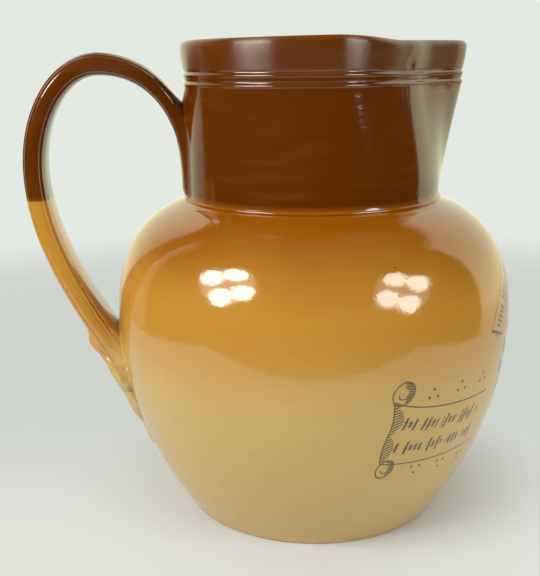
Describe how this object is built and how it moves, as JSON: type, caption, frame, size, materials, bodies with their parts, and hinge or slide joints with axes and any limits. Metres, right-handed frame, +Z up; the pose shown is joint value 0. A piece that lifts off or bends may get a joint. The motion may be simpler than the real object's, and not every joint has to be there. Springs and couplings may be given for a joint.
{
  "type": "stoneware jug",
  "caption": "Round-bellied salt-glazed stoneware jug with a brown dipped neck, pulled spout, strap handle and a moulded leaf below it.",
  "frame": {"origin": "centre of the flat underside", "axes": "+Z up, +X towards the spout, -X towards the handle, and Y across; the jug is alike on both sides of the plane y = 0"},
  "size_m": [0.2057, 0.1696, 0.2],
  "materials": {
    "glazed_stoneware": "gloss salt glaze, ochre over buff, with an iron-brown dip on the neck and the top of the handle"
  },
  "bodies": {
    "root": {"jug": "glazed_stoneware"}
  },
  "joints": []
}
